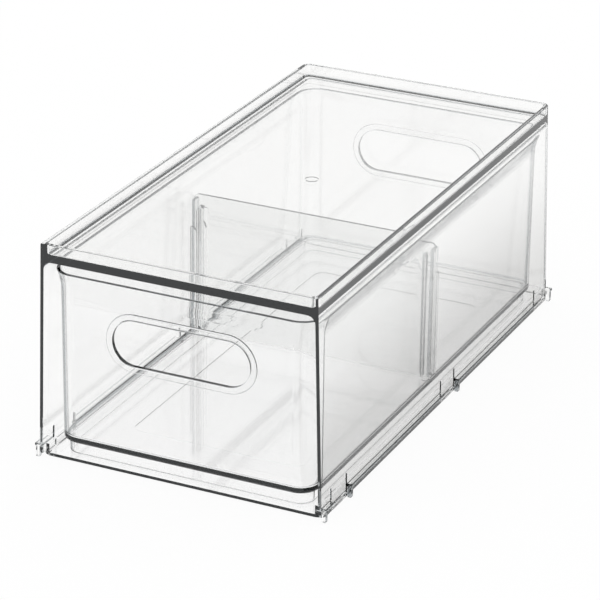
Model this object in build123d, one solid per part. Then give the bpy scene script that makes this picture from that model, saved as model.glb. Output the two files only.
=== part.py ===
from build123d import *
import os

# Stackable case with a pull-out bin, all clear injection-moulded plastic.
# Millimetres. X is across, Y runs from the open front (-Y) to the back, Z is up.
# The origin is the middle of the footprint at the level of the foot nubs.

# ---------------------------------------------------------------- case sizes
LENGTH = 370.0                 # front to back over the foot of the case
TOP_WIDTH = 183.0              # over the rim
HEIGHT = 143.2                 # foot posts to rim
SIDE_SPREAD = 4.2              # how much further out each side wall stands at its foot
BACK_SPREAD = 1.7              # the same for the back wall
WALL = 2.2                     # moulded wall
CASE_CORNER = 6.0              # plan radius of the two back corners
RIM_WALL = 2.8
RIM_RISE = 7.1                 # rim above the top plate
RIM_CORNER = 3.0               # inner plan radius of the rim's front corners
RIM_FOOT = 1.0                 # round between the rim and the top plate
PLATE = 4.3                    # top plate
PLATE_ROUND = 5.3              # round under the plate, where it meets the side walls
EDGE_ROUND = 0.5
GATE_D = 9.0                   # ring mark in the middle of the plate
GATE_RING = 0.8
GATE_DEEP = 0.35

# ---------------------------------------------------------------- base sizes
BASE_UNDER = 1.2               # underside of the base plate over the foot posts' lower ends
BASE = 2.0                     # base plate
BASE_SETBACK = 2.5             # plate's front edge behind the front
BASE_CORNER = 6.0              # plan radius of its front corners
RIB_TALL = 6.0                 # locating rib inside the case walls
RIB_GAP = 0.9
PANEL_FROM_SIDE = 36.7         # shallow panel in the base plate, from the plate's edges
PANEL_FROM_FRONT = 48.8
PANEL_FROM_BACK = 45.0
PANEL_CORNER = 7.0
PANEL_DEEP = 0.5

# ------------------------------------------------ side rails, foot posts, snap tabs
RAIL_TOP = 9.4
RAIL = 2.0
RAIL_PROUD = 3.5               # how far the side rails stand out past the walls
RAIL_ROUND = 0.6
POST_LONG = 2.8                # foot post, along the rail
POST_GAP = 0.2                 # post to the edge of the base plate
POST_INSET = 0.7               # post's outer face inside the rail's
POST_EDGE = 0.4
TAB_FROM_FRONT = 24.2          # middle of the front tabs behind the front
TAB_MIDDLE = 5.2               # middle of the middle tabs behind the origin
TAB_FROM_BACK = 16.8           # middle of the rear tabs before the back
TAB_PITCH = 22.0               # slit to slit
SLIT = 2.0
SLIT_TOP = 16.8
HOOK_REACH = 1.6               # hook under the edge of the base plate
HOOK_LONG = 14.0
HOOK_TALL = 1.0
NOTCH_GAP = 0.3

# ---------------------------------------------------------------- bin sizes
LIP_DROP = 18.4                # lip below the rim
LIP_SIDE_GAP = 0.3             # lip to the case's inner width under the top plate
LIP_BACK_GAP = 1.4             # lip to the inside of the back wall
BIN_SETBACK = 5.0              # front wall behind the front
BIN_CORNER = 13.0
FLARE = 2.6                    # how far the walls turn outwards under the lip
FLARE_TALL = 9.0
FLARE_ROUND = 25.0             # bend between wall and flare
LIP_ROUND = 0.3
FOOT_GAP = 0.3                 # foot ring over the base plate
FOOT_TALL = 8.1                # foot ring under the bin's floor
FOOT_IN = 3.5                  # how far the foot ring stands in from the walls
FOOT_ROUND = 0.5
FLOOR = 3.0                    # bin floor
FLOOR_EDGE = 2.5               # outer rounding between floor and walls
FLOOR_ROUND = 2.5              # inner rounding between floor and walls
GRIP_DROP = 37.15              # middle of the racetrack grip slots below the lip
GRIP_LONG = 92.0
GRIP_TALL = 29.5
GRIP_BORDER = 4.5
GRIP_PROUD = 1.0
GRIP_ROUND = 0.7

# ------------------------------------------------------- divider and its slot
DIVIDER_Y = 0.0
DIVIDER_DROP = 16.2            # divider's top edge below the lip
DIVIDER = 2.0                  # panel thickness
DIVIDER_GAP = 0.3              # clearance to the bin
DIVIDER_CORNER = 4.0
FLANGE_WIDE = 7.2              # end flange, along Y
FLANGE = 2.0
FLANGE_DROP = 3.5              # flange top below the panel top
BLEND = 6.6                    # radius of the blend in front of each flange
BLEND_DROP = 7.0               # blend top below the panel top
BLEND_ROUND = 1.5
SLOT_RIB = 1.8
SLOT_RIB_DEEP = 5.0
SLOT_RIB_DROP = 21.6           # rib tops below the divider's top edge
SLOT_RIB_CHAMFER = 3.0

PAST = 1.0                     # how far a cutting block runs past the face it opens

# ---------------------------------------------------------------- derived
FRONT = -LENGTH / 2
BACK = LENGTH / 2
PLATE_TOP = HEIGHT - RIM_RISE
PLATE_UNDER = PLATE_TOP - PLATE
BASE_TOP = BASE_UNDER + BASE
TAB_CENTRES = (FRONT + TAB_FROM_FRONT, TAB_MIDDLE, BACK - TAB_FROM_BACK)
TAB_HALF = (TAB_PITCH - SLIT) / 2
BIN_TOP = HEIGHT - LIP_DROP
BIN_HALF = TOP_WIDTH / 2 - WALL - LIP_SIDE_GAP - FLARE
BIN_FRONT = FRONT + BIN_SETBACK
BIN_BACK = BACK - BACK_SPREAD - WALL - LIP_BACK_GAP - FLARE
BIN_INNER_HALF = BIN_HALF - WALL
FOOT_UNDER = BASE_TOP + FOOT_GAP
FLOOR_UNDER = FOOT_UNDER + FOOT_TALL
BIN_FLOOR = FLOOR_UNDER + FLOOR
GRIP_MID = BIN_TOP - GRIP_DROP
DIVIDER_TOP = BIN_TOP - DIVIDER_DROP
DIVIDER_UNDER = BIN_FLOOR + DIVIDER_GAP
DIVIDER_HALF = BIN_INNER_HALF - DIVIDER_GAP
FLANGE_UNDER = BIN_FLOOR + FLOOR_ROUND
SLOT_RIB_TOP = DIVIDER_TOP - SLOT_RIB_DROP
SIDES = (-1, 1)


def case_half(z):
    """Outer half width of the case at a level."""
    return TOP_WIDTH / 2 + SIDE_SPREAD * (HEIGHT - z) / (HEIGHT - BASE_TOP)


def case_back(z):
    """Outer face of the case's back wall at a level."""
    return BACK - BACK_SPREAD * (z - BASE_TOP) / (HEIGHT - BASE_TOP)


RAIL_HALF = case_half(RAIL_TOP) + RAIL_PROUD


def plan(z, half, front, back, back_corner, front_corner=0.0):
    """Plan outline at a level, with its own radius at the back and front corners."""
    face = Pos(0, (front + back) / 2, z) * Rectangle(2 * half, back - front)
    ends = face.vertices().sort_by(Axis.Y)
    if back_corner:
        face = fillet(ends[-2:], back_corner)
    if front_corner:
        face = fillet(face.vertices().group_by(Axis.Y)[0], front_corner)
    return face


def prism(z0, z1, *shape):
    """Upright block over a plan outline, between two levels."""
    return extrude(plan(z0, *shape), z1 - z0)


def profile(points, y0, y1):
    """Block with an outline in the XZ plane, between two Y positions."""
    wire = Polyline(*[(x, y0, z) for x, z in points], close=True)
    return extrude(make_face(wire), y1 - y0, dir=(0, 1, 0))


def box(x0, x1, y0, y1, z0, z1):
    """Block between two corners."""
    size = (x1 - x0, y1 - y0, z1 - z0)
    return Pos((x0 + x1) / 2, (y0 + y1) / 2, (z0 + z1) / 2) * Box(*size)


# ---------------------------------------------------------------- outer shell
def case_block(z0, z1, inset, front, round_top=0.0):
    """Block inside the case's slanting sides and back, between two levels.

    Its back corners are rounded. A top round also rounds its long and back top edges.
    """
    half0, half1 = case_half(z0) - inset, case_half(z1) - inset
    back0, back1 = case_back(z0) - inset, case_back(z1) - inset
    reach = max(half0, half1)
    outline = [(-half0, z0), (half0, z0), (half1, z1), (-half1, z1)]
    across = profile(outline, front, max(back0, back1))
    if round_top:
        across = fillet(across.edges().filter_by(Axis.Y).group_by(Axis.Z)[-1], round_top)
    wire = Polyline(
        (-reach, front, z0), (-reach, back0, z0), (-reach, back1, z1), (-reach, front, z1),
        close=True,
    )
    block = across & extrude(make_face(wire), 2 * reach, dir=(1, 0, 0))
    back_edges = block.faces().sort_by(Axis.Y)[-1].edges().sort_by(Axis.Z)
    rounded = back_edges[1:] if round_top else back_edges[1:-1]
    return fillet(rounded, CASE_CORNER - inset)


def side_box(side, x0, x1, *rest):
    """Block between two distances from the middle, on one side."""
    return box(*sorted((side * x0, side * x1)), *rest)


def slit(side, y):
    """Round-topped slit through a side wall, from its foot up."""
    inner = case_half(HEIGHT) - WALL - PAST
    outer = case_half(0) + PAST
    round_at = SLIT_TOP - SLIT / 2
    cut = side_box(side, inner, outer, y - SLIT / 2, y + SLIT / 2, BASE_UNDER, round_at)
    round_top = Pos(side * (inner + outer) / 2, y, round_at) * Rot(0, 90, 0)
    return cut + round_top * Cylinder(SLIT / 2, outer - inner)


def tab_foot(side, y):
    """Lower end of a snap tab, beside the base plate's edge, with the hook under the plate."""
    out = case_half(BASE_TOP)
    inside = out - WALL
    low = [
        (side * inside, BASE_TOP),
        (side * (out + inside) / 2, BASE_TOP + WALL / 2),
        (side * out, BASE_TOP),
        (side * case_half(BASE_UNDER), BASE_UNDER),
        (side * inside, BASE_UNDER),
    ]
    hook = [
        (side * inside, BASE_UNDER + HOOK_TALL),
        (side * inside, BASE_UNDER),
        (side * (inside - HOOK_REACH / 2), BASE_UNDER),
        (side * (inside - HOOK_REACH), BASE_UNDER + HOOK_TALL / 2),
        (side * (inside - HOOK_REACH), BASE_UNDER + HOOK_TALL),
    ]
    foot = profile(low, y - TAB_HALF, y + TAB_HALF)
    return foot + profile(hook, y - HOOK_LONG / 2, y + HOOK_LONG / 2)


def side_rail(side):
    """Rail along a side wall, left out at the snap tabs, with its foot posts."""
    root = case_half(RAIL_TOP) - WALL / 2
    post_starts = [FRONT] + [centre + TAB_HALF + SLIT for centre in TAB_CENTRES]
    back = post_starts[-1] + POST_LONG
    rail = side_box(side, root, RAIL_HALF, FRONT, back, RAIL_TOP - RAIL, RAIL_TOP)
    outer = rail.faces().sort_by(Axis.X)[-1 if side > 0 else 0]
    rail = fillet(outer.edges().filter_by(Axis.Y), RAIL_ROUND)
    for centre in TAB_CENTRES:
        along = (centre - TAB_HALF - SLIT, centre + TAB_HALF + SLIT)
        rail -= side_box(side, root - PAST, RAIL_HALF + PAST, *along, 0, RAIL_TOP + PAST)
    post_x = (case_half(BASE_TOP) + POST_GAP, RAIL_HALF - POST_INSET)
    for start in post_starts:
        post = side_box(side, *post_x, start, start + POST_LONG, 0, RAIL_TOP - RAIL / 2)
        rail += chamfer(post.faces().sort_by(Axis.Z)[0].edges(), POST_EDGE)
    return rail


def outer_shell():
    """Top plate with its rim, two side walls with their rails, and the back wall in one piece."""
    shell = case_block(BASE_TOP, HEIGHT, 0, FRONT)
    recess = prism(
        PLATE_TOP,
        HEIGHT + PAST,
        TOP_WIDTH / 2 - RIM_WALL,
        FRONT + RIM_WALL,
        case_back(HEIGHT) - RIM_WALL,
        CASE_CORNER - RIM_WALL,
        RIM_CORNER,
    )
    recess = fillet(recess.faces().sort_by(Axis.Z)[0].edges(), RIM_FOOT)
    inside = case_block(BASE_TOP - PAST, PLATE_UNDER, WALL, FRONT - PAST, PLATE_ROUND)
    shell = shell - recess - inside
    shell = fillet(shell.faces().sort_by(Axis.Z)[-1].edges(), EDGE_ROUND)
    ring = Cylinder(GATE_D / 2, 2 * GATE_DEEP) - Cylinder(GATE_D / 2 - GATE_RING, 2 * GATE_DEEP)
    shell -= Pos(0, 0, PLATE_TOP) * ring
    for side in SIDES:
        for centre in TAB_CENTRES:
            for end in SIDES:
                shell -= slit(side, centre + end * TAB_PITCH / 2)
            shell += tab_foot(side, centre)
        shell += side_rail(side)
    return shell


# ---------------------------------------------------------------- base tray
def base_tray():
    """Flat base plate under the case walls, with the locating rib just inside them."""
    half = case_half(BASE_TOP)
    front = FRONT + BASE_SETBACK
    tray = prism(BASE_UNDER, BASE_TOP, half, front, BACK, CASE_CORNER, BASE_CORNER)
    rib_half = case_half(RAIL_TOP) - WALL - RIB_GAP
    rib_back = case_back(RAIL_TOP) - WALL - RIB_GAP
    rib_corner = CASE_CORNER - WALL - RIB_GAP
    rib_top = BASE_TOP + RIB_TALL
    rib = prism(BASE_TOP, rib_top, rib_half, front, rib_back, rib_corner)
    rib -= prism(
        BASE_TOP,
        rib_top,
        rib_half - WALL,
        front - PAST,
        rib_back - WALL,
        rib_corner / 2,
    )
    tray += rib
    tray -= prism(
        BASE_TOP - PANEL_DEEP,
        BASE_TOP + PAST,
        half - PANEL_FROM_SIDE,
        front + PANEL_FROM_FRONT,
        BACK - PANEL_FROM_BACK,
        PANEL_CORNER,
        PANEL_CORNER,
    )
    notch_in = half - WALL - NOTCH_GAP
    notch_half = TAB_HALF + NOTCH_GAP
    pocket_half = HOOK_LONG / 2 + NOTCH_GAP
    for side in SIDES:
        for y in TAB_CENTRES:
            tray -= side_box(side, notch_in, half + PAST, y - notch_half, y + notch_half, 0, RAIL_TOP)
            tray -= side_box(
                side,
                notch_in - HOOK_REACH,
                half,
                y - pocket_half,
                y + pocket_half,
                0,
                BASE_UNDER + HOOK_TALL,
            )
    return tray


# ---------------------------------------------------------------- drawer bin
def bin_plan(inset):
    """Half width, front, back and both corner radii of the bin, inset from its outer walls."""
    corner = BIN_CORNER - inset
    return BIN_HALF - inset, BIN_FRONT + inset, BIN_BACK - inset, corner, corner


def bin_block(low, inset):
    """Block over the bin's outline, from a level up past the lip, that turns outwards under it."""
    start = BIN_TOP - FLARE_TALL
    flare = prism(start, BIN_TOP + PAST, *bin_plan(inset - FLARE))
    under = flare.faces().sort_by(Axis.Z)[0]
    flare = chamfer(under.edges(), FLARE, FLARE_TALL, reference=under)
    block = prism(low, BIN_TOP + PAST, *bin_plan(inset)) + flare
    bend = block.edges().filter_by(lambda e: abs(e.center().Z - start) < EDGE_ROUND)
    return fillet(bend, FLARE_ROUND)


def grip_slot(body, y, way):
    """The bin with one racetrack grip slot cut through a wall and a raised rounded border."""
    plane = Plane(origin=(0, y, GRIP_MID), x_dir=(1, 0, 0), z_dir=(0, way, 0))
    outline = SlotOverall(GRIP_LONG + 2 * GRIP_BORDER, GRIP_TALL + 2 * GRIP_BORDER)
    border = extrude(plane * outline, GRIP_PROUD)
    outward = Axis(plane.origin, plane.z_dir)
    border = fillet(border.faces().sort_by(outward)[-1].edges(), 0.9 * GRIP_PROUD)
    body = body + border + extrude(plane * outline, -WALL / 2)
    opening = SlotOverall(GRIP_LONG, GRIP_TALL)
    body -= extrude(plane * opening, 4 * WALL, both=True)

    def on_rim(edge):
        spot = plane.to_local_coords(edge @ 0.5)
        reach = max(abs(spot.X) - GRIP_LONG / 2, abs(spot.Y) - GRIP_TALL / 2)
        return reach < GRIP_BORDER / 4 and abs(spot.Z) < 2 * WALL

    rims = [edge for edge in body.edges() if on_rim(edge) and edge.length > GRIP_TALL]
    return fillet(rims, GRIP_ROUND)


def slot_ribs():
    """Two ribs on each side wall that hold the divider's end flange between them."""
    near = FLANGE_WIDE / 2 + DIVIDER_GAP
    tip = BIN_INNER_HALF - SLOT_RIB_DEEP
    ribs = []
    for side in SIDES:
        points = [
            (side * (BIN_INNER_HALF + WALL / 2), BIN_FLOOR - WALL / 4),
            (side * tip, BIN_FLOOR - WALL / 4),
            (side * tip, SLOT_RIB_TOP - SLOT_RIB_CHAMFER),
            (side * (tip + SLOT_RIB_CHAMFER), SLOT_RIB_TOP),
            (side * (BIN_INNER_HALF + WALL / 2), SLOT_RIB_TOP),
        ]
        for way in SIDES:
            y0, y1 = sorted((DIVIDER_Y + way * near, DIVIDER_Y + way * (near + SLOT_RIB)))
            ribs.append(profile(points, y0, y1))
    return ribs


def drawer_bin():
    """Open-topped bin on a foot ring, with two grip slots and the divider's slot."""
    body = bin_block(FLOOR_UNDER, 0)
    body = fillet(body.faces().sort_by(Axis.Z)[0].edges(), FLOOR_EDGE)
    hollow = bin_block(BIN_FLOOR, WALL)
    body -= fillet(hollow.faces().sort_by(Axis.Z)[0].edges(), FLOOR_ROUND)
    body -= box(-RAIL_HALF, RAIL_HALF, FRONT, BACK, BIN_TOP, BIN_TOP + 2 * PAST)
    body = fillet(body.faces().sort_by(Axis.Z)[-1].edges(), LIP_ROUND)

    foot = prism(FOOT_UNDER, FLOOR_UNDER + WALL / 2, *bin_plan(FOOT_IN))
    foot -= prism(FOOT_UNDER, FLOOR_UNDER + WALL / 2, *bin_plan(FOOT_IN + WALL))
    foot = fillet(foot.faces().sort_by(Axis.Z)[0].edges(), FOOT_ROUND)
    body += foot

    body = grip_slot(body, BIN_FRONT, -1)
    body = grip_slot(body, BIN_BACK, 1)
    for rib in slot_ribs():
        body += rib
    return body


# ---------------------------------------------------------------- divider
def divider_end(side):
    """End flange and the concave blend in front of the panel, on one side."""
    low = FLANGE_UNDER
    flange_x = sorted((side * DIVIDER_HALF, side * (DIVIDER_HALF - FLANGE)))
    flange_y = (DIVIDER_Y - FLANGE_WIDE / 2, DIVIDER_Y + FLANGE_WIDE / 2)
    flange = box(*flange_x, *flange_y, low, DIVIDER_TOP - FLANGE_DROP)
    start = DIVIDER_HALF - SLOT_RIB_DEEP
    front_y = DIVIDER_Y - DIVIDER / 2
    bow = BLEND * (1 - 0.5**0.5)
    a = (side * start, DIVIDER_Y)
    b = (side * (start - BLEND), DIVIDER_Y)
    c = (side * (start - BLEND), front_y)
    arc_mid = (side * (start - bow), front_y - bow)
    d = (side * start, front_y - BLEND)
    outline = make_face(Line(a, b) + Line(b, c) + ThreePointArc(c, arc_mid, d) + Line(d, a))
    blend = extrude(Pos(0, 0, low) * outline, DIVIDER_TOP - BLEND_DROP - low)
    top = blend.faces().sort_by(Axis.Z)[-1].edges()
    blend = chamfer(top.filter_by(GeomType.CIRCLE), BLEND_ROUND)
    return flange + blend


def divider():
    """Clear panel with an end flange and a blended stiffener at each end."""
    outline = Pos(0, DIVIDER_Y, (DIVIDER_UNDER + DIVIDER_TOP) / 2) * Rot(90, 0, 0)
    outline = outline * Rectangle(2 * DIVIDER_HALF, DIVIDER_TOP - DIVIDER_UNDER)
    panel = extrude(outline, DIVIDER / 2, both=True)
    panel = fillet(panel.edges().filter_by(Axis.Y), DIVIDER_CORNER)
    return panel + divider_end(-1) + divider_end(1)


NODES = {
    "outer_shell": outer_shell,
    "base_tray": base_tray,
    "drawer_bin": drawer_bin,
    "divider": divider,
}

os.makedirs("parts", exist_ok=True)
for name, make in NODES.items():
    shape = make()
    export_step(shape, f"parts/{name}.step")
    extent = shape.bounding_box()
    print(name, len(shape.solids()), shape.is_valid, round(shape.volume), extent.min, extent.max)
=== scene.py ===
import math

import bpy
from mathutils import Matrix, Vector

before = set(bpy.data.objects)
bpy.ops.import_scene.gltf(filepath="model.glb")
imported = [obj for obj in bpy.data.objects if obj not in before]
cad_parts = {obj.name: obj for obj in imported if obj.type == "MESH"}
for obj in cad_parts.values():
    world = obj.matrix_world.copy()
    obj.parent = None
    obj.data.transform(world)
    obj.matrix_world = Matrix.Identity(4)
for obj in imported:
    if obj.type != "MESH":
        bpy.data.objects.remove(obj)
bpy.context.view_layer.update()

# Clear stackable drawer box. Every shape comes from the CAD: this script gives the four nodes
# their clear plastic, and adds the floor, the light and the camera. Lengths are in metres.

# ------------------------------------------------------------------ camera
CAMERA_AZIMUTH = math.radians(25.195)
CAMERA_ELEVATION = math.radians(23.695)
CAMERA_ROLL = math.radians(0.721)
CAMERA_TARGET = Vector((-0.00679, -0.0008, 0.05118))
CAMERA_DISTANCE = 1.9402
CAMERA_REACH = 20.0                 # nothing beyond this distance is drawn
LENS_MM = 179.6
SENSOR_MM = 36.0

# ------------------------------------------------------------------ plastic
PLASTIC_IOR = 1.57
GLOSS_TINT = (0.94, 0.98, 1.0)
SHELL_COAT = 0.25
ABSORB_TINT = (0.22, 0.25, 0.27)
ABSORB_DENSITY = 5.0
SHELL_TINT = (0.995, 0.995, 0.99)
BIN_TINT = (0.995, 0.995, 0.995)    # base plate too
DIVIDER_TINT = (0.88, 0.885, 0.88)
WAVE_SCALE = 9.0                    # slow, shallow waves of a moulded surface
WAVE_DETAIL = 2.0
WAVE_STRENGTH = 0.03
WAVE_HEIGHT = 0.002

# ------------------------------------------------------------------ painted shade: where the plastic is drawn darker
# These tints paint shade into the plastic's colour. They stand in for the dark edges that clear
# plastic shows from reflections and from light bent away.
# START is where a tint begins to show and FULL where it shows in full. A turn is 0 for a face
# that looks along the line of sight, and 1 for one seen edge-on.
ROUNDING_PAINTED_SHADE = (0.62, 0.64, 0.65)     # painted shade on roundings between level and upright faces
ROUND_START = 0.97                  # largest share of one axis in a rounding's normal
ROUND_FULL = 0.80
TILT_START = 0.30                   # share of Z in the normal
TILT_FULL = 0.45
TURNED_PAINTED_SHADE = (0.14, 0.16, 0.17)    # painted shade on roundings that turn away, such as upright corners
TURNED_START = 0.30                 # turn
TURNED_FULL = 0.55
EDGE_ON_PAINTED_SHADE = (0.15, 0.17, 0.18)      # painted shade on upright faces seen edge-on
EDGE_START = 0.68                   # turn
EDGE_FULL = 0.82
UPRIGHT_START = 0.50                # share of Z in the normal of an upright face
UPRIGHT_FULL = 0.15
EVEN_BLEND = 0.5                    # Layer Weight setting that leaves the turn as it is

# A band of painted shade: the axis, the distances from the middle (Z: from the ground) between
# which it lies, and its tint.
PAINTED_SHADE_TINT = (0.30, 0.32, 0.33)
PANEL_PAINTED_SHADE = (0.06, 0.06, 0.06)
RAIL_EDGE_SHADE_BAND = ("X", 0.0982, 0.1, PAINTED_SHADE_TINT)           # painted shade on the outer edges of the side rails
LIP_EDGE_SHADE_BAND = ("Z", 0.1244, 0.13, PAINTED_SHADE_TINT)           # painted shade on the bin's top edge
PANEL_STEP_SHADE_BAND = ("Z", 0.00272, 0.00318, PANEL_PAINTED_SHADE)    # painted shade on the step round the panel in the base plate
FLANGE_END_SHADE_BAND = ("Y", 0.0034, 0.0040, PAINTED_SHADE_TINT)       # painted shade on the front and back ends of the divider's flanges
TAB_ENDS = 0.178                    # ends of slits, tabs and posts, which get painted shade, are nearer the middle, along Y
ALONG_Y = 0.9                       # share of Y in the normal of such an end

# ------------------------------------------------------------------ light
WHITE = (1.0, 1.0, 1.0, 1.0)
WORLD_GLOW = 1.0
FLOOR_SIZE = 8.0
FLOOR_DROP = 0.0003                 # floor below the feet
FLOOR_THROUGH = 0.97                # glow of the floor seen through the plastic or mirrored
FLOOR_SEEN = 0.94                   # glow of the floor seen directly
SHADE_DEPTH = 0.68                  # painted shade: how much darker the floor is beside the right wall, where it is seen mirrored
SHADE_START = 0.10                  # X where that shade starts, in full
SHADE_END = 0.215                   # X where it has faded out
BOUNCES = 32                        # a path can cross many clear walls, two faces each


# ------------------------------------------------------------------ shader nodes
class Shading:
    """A material's node tree, with short ways to add to it."""

    def __init__(self, mat):
        mat.use_nodes = True
        self.nodes = mat.node_tree.nodes
        self.links = mat.node_tree.links
        self.shader = self.nodes["Principled BSDF"]
        self.output = self.nodes["Material Output"]

    def calculated(self, operation, *values):
        """Result of a maths node on sockets or plain numbers."""
        node = self.nodes.new("ShaderNodeMath")
        node.operation = operation
        for slot, value in zip(node.inputs, values):
            if isinstance(value, float):
                slot.default_value = value
            else:
                self.links.new(value, slot)
        return node.outputs["Value"]

    def ramp(self, value, start, full):
        """Smooth step of a socket's value, from 0 at start to 1 at full."""
        step = self.nodes.new("ShaderNodeMapRange")
        step.interpolation_type = "SMOOTHSTEP"
        step.inputs["From Min"].default_value = start
        step.inputs["From Max"].default_value = full
        self.links.new(value, step.inputs["Value"])
        return step.outputs["Result"]

    def band(self, value, low, high):
        """1 where a socket's value lies between two limits, 0 elsewhere."""
        over = self.calculated("GREATER_THAN", value, low)
        under = self.calculated("LESS_THAN", value, high)
        return self.calculated("MULTIPLY", over, under)

    def split(self, vector):
        """X, Y and Z of a vector socket."""
        parts = self.nodes.new("ShaderNodeSeparateXYZ")
        self.links.new(vector, parts.inputs["Vector"])
        return parts.outputs

    def absolute(self, vector):
        """X, Y and Z of a vector socket, each made positive."""
        size = self.nodes.new("ShaderNodeVectorMath")
        size.operation = "ABSOLUTE"
        self.links.new(vector, size.inputs[0])
        return self.split(size.outputs["Vector"])

    def tinted(self, factor, under, over):
        """Blend of a colour or colour socket into another colour."""
        blend = self.nodes.new("ShaderNodeMix")
        blend.data_type = "RGBA"
        colours = [socket for socket in blend.inputs if socket.type == "RGBA"]
        if isinstance(under, tuple):
            colours[0].default_value = (*under, 1.0)
        else:
            self.links.new(under, colours[0])
        colours[1].default_value = (*over, 1.0)
        self.links.new(factor, blend.inputs["Factor"])
        return [socket for socket in blend.outputs if socket.type == "RGBA"][0]


# ------------------------------------------------------------------ clear plastic
def paint_shade_by_turn(shading, normal, tint):
    """The plastic's tint, with painted shade on roundings and on upright faces seen edge-on."""
    weight = shading.nodes.new("ShaderNodeLayerWeight")
    weight.inputs["Blend"].default_value = EVEN_BLEND
    turn = weight.outputs["Facing"]
    across = shading.calculated("MAXIMUM", normal["X"], normal["Y"])
    largest = shading.calculated("MAXIMUM", across, normal["Z"])
    rounded = shading.ramp(largest, ROUND_START, ROUND_FULL)
    tilt = shading.ramp(normal["Z"], TILT_START, TILT_FULL)
    turned = shading.ramp(turn, TURNED_START, TURNED_FULL)
    edge = shading.ramp(turn, EDGE_START, EDGE_FULL)
    upright = shading.ramp(normal["Z"], UPRIGHT_START, UPRIGHT_FULL)

    colour = shading.tinted(shading.calculated("MULTIPLY", rounded, tilt), tint, ROUNDING_PAINTED_SHADE)
    colour = shading.tinted(shading.calculated("MULTIPLY", rounded, turned), colour, TURNED_PAINTED_SHADE)
    return shading.tinted(shading.calculated("MULTIPLY", edge, upright), colour, EDGE_ON_PAINTED_SHADE)


def paint_shade_bands(shading, normal, place, colour, dark, ends):
    """The same colour, with a band of painted shade and, within ends, painted shade on faces that
    look along Y.
    """
    axis, low, high, shade = dark
    colour = shading.tinted(shading.band(place[axis], low, high), colour, shade)
    if ends:
        inside = shading.calculated("LESS_THAN", place["Y"], ends)
        looks_along = shading.calculated("GREATER_THAN", normal["Y"], ALONG_Y)
        inside = shading.calculated("MULTIPLY", inside, looks_along)
        colour = shading.tinted(inside, colour, PAINTED_SHADE_TINT)
    return colour


def add_waves(shading, place):
    """Slow waves in the shading of the surface."""
    waves = shading.nodes.new("ShaderNodeTexNoise")
    waves.inputs["Scale"].default_value = WAVE_SCALE
    waves.inputs["Detail"].default_value = WAVE_DETAIL
    shading.links.new(place, waves.inputs["Vector"])
    bump = shading.nodes.new("ShaderNodeBump")
    bump.inputs["Strength"].default_value = WAVE_STRENGTH
    bump.inputs["Distance"].default_value = WAVE_HEIGHT
    shading.links.new(waves.outputs["Fac"], bump.inputs["Height"])
    shading.links.new(bump.outputs["Normal"], shading.shader.inputs["Normal"])


def clear_plastic(name, tint, dark, ends=None, coat=0.0):
    """Clear moulded plastic, faintly tinted, with painted shade on roundings and edges, and
    darker on long light paths.

    dark is its band of painted shade. ends is the distance from the middle up to which faces that
    look along Y get painted shade too.
    """
    mat = bpy.data.materials.new(name)
    shading = Shading(mat)
    shader = shading.shader
    shader.inputs["Transmission Weight"].default_value = 1.0
    shader.inputs["IOR"].default_value = PLASTIC_IOR
    shader.inputs["Roughness"].default_value = 0.0
    shader.inputs["Coat Weight"].default_value = coat
    shader.inputs["Coat Roughness"].default_value = 0.0
    shader.inputs["Specular Tint"].default_value = (*GLOSS_TINT, 1.0)

    object_place = shading.nodes.new("ShaderNodeTexCoord").outputs["Object"]
    surface_normal = shading.nodes.new("ShaderNodeNewGeometry").outputs["Normal"]
    place = shading.absolute(object_place)
    normal = shading.absolute(surface_normal)
    colour = paint_shade_by_turn(shading, normal, tint)
    colour = paint_shade_bands(shading, normal, place, colour, dark, ends)
    shading.links.new(colour, shader.inputs["Base Color"])
    add_waves(shading, object_place)

    absorb = shading.nodes.new("ShaderNodeVolumeAbsorption")
    absorb.inputs["Color"].default_value = (*ABSORB_TINT, 1.0)
    absorb.inputs["Density"].default_value = ABSORB_DENSITY
    shading.links.new(absorb.outputs["Volume"], shading.output.inputs["Volume"])
    return mat


def dress(node, mat):
    """Gives a CAD node its material."""
    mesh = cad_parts[node].data
    mesh.materials.clear()
    mesh.materials.append(mat)


clear_shell = clear_plastic("clear_shell", SHELL_TINT, RAIL_EDGE_SHADE_BAND, ends=TAB_ENDS, coat=SHELL_COAT)
dress("outer_shell", clear_shell)
dress("base_tray", clear_plastic("clear_base", BIN_TINT, PANEL_STEP_SHADE_BAND))
dress("drawer_bin", clear_plastic("clear_bin", BIN_TINT, LIP_EDGE_SHADE_BAND))
dress("divider", clear_plastic("clear_divider", DIVIDER_TINT, FLANGE_END_SHADE_BAND))


# ------------------------------------------------------------------ studio
def white_world():
    """Even white light from all sides."""
    world = bpy.data.worlds.new("studio")
    bpy.context.scene.world = world
    world.use_nodes = True
    background = world.node_tree.nodes["Background"]
    background.inputs["Color"].default_value = WHITE
    background.inputs["Strength"].default_value = WORLD_GLOW


def floor_strength(shading, path):
    """Strength of the floor's glow, with a painted shade just right of the box that shows only
    where the floor is seen mirrored.
    """
    spot = shading.nodes.new("ShaderNodeNewGeometry")
    across = shading.split(spot.outputs["Position"])["X"]
    beyond = shading.calculated("GREATER_THAN", across, SHADE_START)
    fade = shading.ramp(across, SHADE_END, SHADE_START)
    shade = shading.calculated("MULTIPLY", beyond, fade)
    mirrored = shading.calculated("MINIMUM", path["Glossy Depth"], 1.0)
    shade = shading.calculated("MULTIPLY", shade, mirrored)
    return shading.calculated("MULTIPLY_ADD", shade, -SHADE_DEPTH, 1.0)


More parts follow.
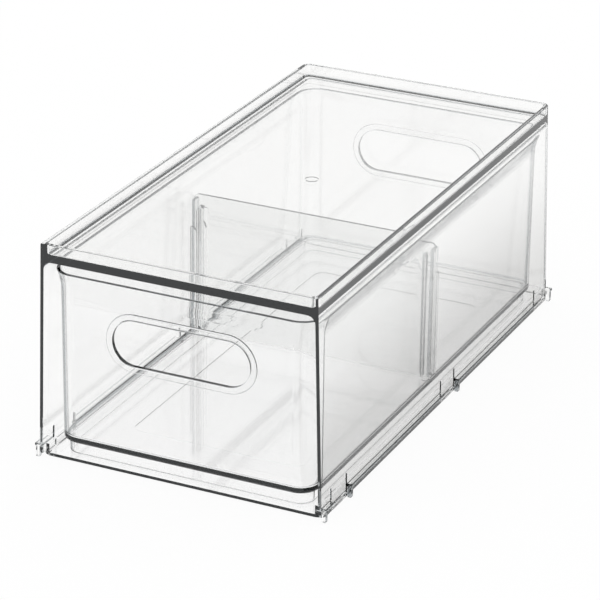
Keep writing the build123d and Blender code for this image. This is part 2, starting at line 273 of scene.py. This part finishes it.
def floor_material():
    """Matt white that also glows to the eye, so that it reads white but takes a faint shadow."""
    mat = bpy.data.materials.new("floor")
    shading = Shading(mat)
    shader = shading.shader
    shader.inputs["Base Color"].default_value = WHITE
    shader.inputs["Roughness"].default_value = 1.0
    shader.inputs["Specular IOR Level"].default_value = 0.0
    path = shading.nodes.new("ShaderNodeLightPath").outputs
    glow = shading.nodes.new("ShaderNodeEmission")
    shading.links.new(floor_strength(shading, path), glow.inputs["Strength"])

    bent = shading.calculated("MAXIMUM", path["Is Transmission Ray"], path["Is Glossy Ray"])
    share = shading.calculated("MULTIPLY", bent, FLOOR_THROUGH)
    share = shading.calculated("MULTIPLY_ADD", path["Is Camera Ray"], FLOOR_SEEN, share)
    mix = shading.nodes.new("ShaderNodeMixShader")
    mix_share, matt, glowing = mix.inputs
    shading.links.new(share, mix_share)
    shading.links.new(shader.outputs["BSDF"], matt)
    shading.links.new(glow.outputs["Emission"], glowing)
    shading.links.new(mix.outputs["Shader"], shading.output.inputs["Surface"])
    return mat


def lay_floor():
    """The floor under the feet, wide enough to fill the picture."""
    bpy.ops.mesh.primitive_plane_add(size=FLOOR_SIZE, location=(0.0, 0.0, -FLOOR_DROP))
    floor = bpy.context.object
    floor.name = "floor"
    floor.data.materials.append(floor_material())


def camera():
    """The camera at the photograph's viewing angle."""
    az = CAMERA_AZIMUTH
    el = CAMERA_ELEVATION
    back = Vector((math.sin(az) * math.cos(el), -math.cos(az) * math.cos(el), math.sin(el)))
    right = Vector((math.cos(az), math.sin(az), 0.0))
    up = back.cross(right)
    roll_right = right * math.cos(CAMERA_ROLL) + up * math.sin(CAMERA_ROLL)
    roll_up = up * math.cos(CAMERA_ROLL) - right * math.sin(CAMERA_ROLL)
    data = bpy.data.cameras.new("camera")
    data.sensor_width = SENSOR_MM
    data.lens = LENS_MM
    data.clip_end = CAMERA_REACH
    obj = bpy.data.objects.new("camera", data)
    bpy.context.scene.collection.objects.link(obj)
    turn = Matrix((roll_right, roll_up, back)).transposed().to_4x4()
    obj.matrix_world = Matrix.Translation(CAMERA_TARGET + back * CAMERA_DISTANCE) @ turn
    bpy.context.scene.camera = obj


white_world()
lay_floor()
camera()

scene = bpy.context.scene
scene.view_settings.view_transform = "Standard"
scene.cycles.max_bounces = BOUNCES
scene.cycles.transmission_bounces = BOUNCES
scene.cycles.transparent_max_bounces = BOUNCES
scene.cycles.caustics_refractive = True
scene.cycles.caustics_reflective = True
